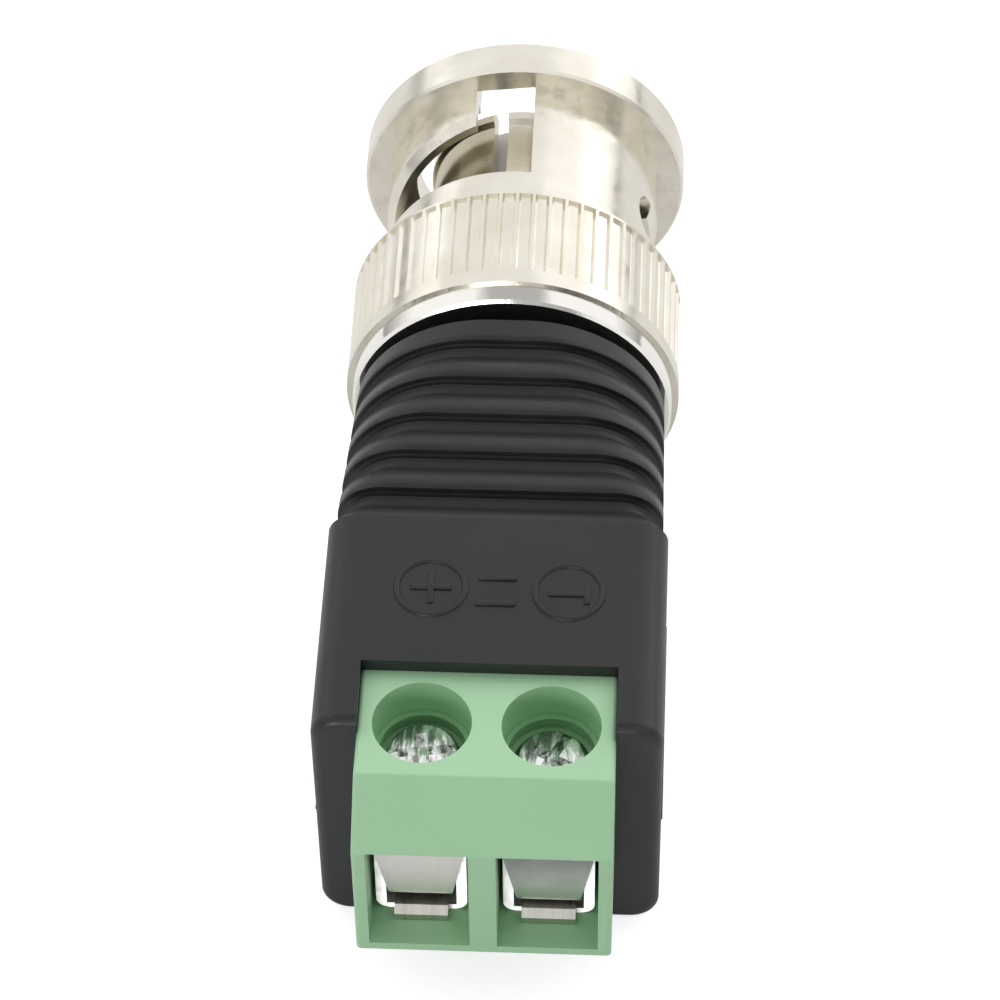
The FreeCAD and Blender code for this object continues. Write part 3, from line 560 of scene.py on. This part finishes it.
def room_in_metal(tree, around):
    """Grey of the walls and ceiling that metal shows, by height."""
    parts = tree.nodes.new("ShaderNodeSeparateXYZ")
    tree.links.new(around, parts.inputs[0])
    room = tree.nodes.new("ShaderNodeValToRGB")
    stops = room.color_ramp.elements
    ends = list(stops)
    for height, grey in ROOM_HEIGHTS:
        stop = ends.pop(0) if ends else stops.new(height)
        stop.position = height
        stop.color = (grey, grey, grey, 1)
    tree.links.new(parts.outputs["Z"], room.inputs[0])
    return room.outputs["Color"]


def soft_sky(tree, around):
    """Light on matt surfaces, mostly from above and behind."""
    toward = tree.nodes.new("ShaderNodeVectorMath")
    toward.operation = "DOT_PRODUCT"
    toward.inputs[1].default_value = SKY_SIDE
    tree.links.new(around, toward.inputs[0])
    soft = tree.nodes.new("ShaderNodeMapRange")
    soft.inputs["To Min"].default_value = ROOM_LIGHT
    soft.inputs["To Max"].default_value = ROOM_LIGHT + SKY_LIGHT
    tree.links.new(toward.outputs["Value"], soft.inputs["Value"])
    return soft.outputs["Result"]


def world():
    """White behind the object, a pale room in metal and a soft sky on the rest."""
    studio = bpy.data.worlds.new("studio")
    bpy.context.scene.world = studio
    studio.use_nodes = True
    tree = studio.node_tree
    tree.nodes.clear()
    around = tree.nodes.new("ShaderNodeTexCoord").outputs["Generated"]
    level = by_ray(tree, soft_sky(tree, around), (("Is Glossy Ray", room_in_metal(tree, around)),
                                                  ("Is Transmission Ray", 1.0),
                                                  ("Is Camera Ray", 1.0)))
    sky = tree.nodes.new("ShaderNodeBackground")
    sky.inputs["Color"].default_value = (1, 1, 1, 1)
    tree.links.new(level, sky.inputs["Strength"])
    out = tree.nodes.new("ShaderNodeOutputWorld")
    tree.links.new(sky.outputs[0], out.inputs["Surface"])


LAMP_DISTANCE = 0.6
LAMP_TARGET = Vector((0, -20, 0)) * MM
LAMPS = (
    ("right_panel", (0.55, 0.60, 0.58), 0.40, 0.03),
    ("right_strip", (0.72, 0.62, 0.26), 0.26, 0.045),
    ("left_strip", (-0.72, 0.62, 0.26), 0.22, 0.02),
    ("front_fill", (-0.30, -1.0, 0.08), 0.26, 0.36),
)


def softbox(name, direction, size, level):
    """Area light aimed at the part, where a level of 1 lights a facing surface to its colour."""
    light = bpy.data.lights.new(name, "AREA")
    light.shape = "SQUARE"
    light.size = size
    light.energy = level * math.pi ** 2 * LAMP_DISTANCE ** 2
    lamp = bpy.data.objects.new(name, light)
    bpy.context.scene.collection.objects.link(lamp)
    way = Vector(direction).normalized()
    lamp.location = LAMP_TARGET + way * LAMP_DISTANCE
    lamp.rotation_euler = way.to_track_quat("Z", "Y").to_euler()


CAMERA_PLACE = Vector((6.285, -133.892, 134.456)) * MM
CAMERA_AZIMUTH = math.radians(-3.316)
CAMERA_DIP = math.radians(49.840)
CAMERA_ROLL = math.radians(-0.988)
CAMERA_FIELD = math.radians(13.844)
CAMERA_NEAR = 0.01


def camera():
    """Camera fitted to the photograph."""
    level = math.cos(CAMERA_DIP)
    ahead = Vector((math.sin(CAMERA_AZIMUTH) * level, math.cos(CAMERA_AZIMUTH) * level,
                    -math.sin(CAMERA_DIP)))
    right = ahead.cross(Vector((0, 0, 1))).normalized()
    up = right.cross(ahead)
    across = right * math.cos(CAMERA_ROLL) + up * math.sin(CAMERA_ROLL)
    upward = up * math.cos(CAMERA_ROLL) - right * math.sin(CAMERA_ROLL)
    data = bpy.data.cameras.new("photo_camera")
    data.angle = CAMERA_FIELD
    data.clip_start = CAMERA_NEAR
    seat = bpy.data.objects.new("photo_camera", data)
    bpy.context.scene.collection.objects.link(seat)
    turn = Matrix((across, upward, -ahead)).transposed().to_4x4()
    seat.matrix_world = Matrix.Translation(CAMERA_PLACE) @ turn
    bpy.context.scene.camera = seat


def dress_nodes():
    """Finishes of all the CAD nodes but the black moulding."""
    dress(cast_nickel(), "coupling_nut")
    dress(turned_nickel(), "plug_body")
    dress(gold_pin(), "centre_pin")
    dress(white_plastic(), "insulator")
    dress(soft_seal(), "face_seal")
    dress(green_plastic(), "terminal_housing")
    dress(zinc_plate(), "clamp_cage_plus", "clamp_cage_minus")
    dress(screw_zinc(), "clamp_screw_plus", "clamp_screw_minus")
    dress(rolled_sheet("spring_steel_sheet", (0.86, 0.80, 0.79), (0.95, 0.895, 0.885), 0.36),
          "wire_guard_plus", "wave_washer", "thrust_washer")
    dress(dark_topped_sheet(), "wire_guard_minus")
    dress(rolled_sheet("tinned_copper", (0.42, 0.41, 0.36), (0.68, 0.67, 0.62), 0.30),
          "contact_strip_plus", "contact_strip_minus", "positive_lead", "negative_lead")
    dress(red_insulation(), "positive_lead_sleeve")
    dress(bright_solder(), "solder_joints")


def main():
    dress_nodes()
    black = black_moulding()
    dress(black, "moulded_body")
    plus_mark(black)
    minus_mark(black)
    middle_marks(black)
    parting_line("parting_line_left", black, -1)
    parting_line("parting_line_right", black, 1)
    floor()
    world()
    for lamp in LAMPS:
        softbox(*lamp)
    camera()
    bpy.context.scene.view_settings.view_transform = "Standard"


main()
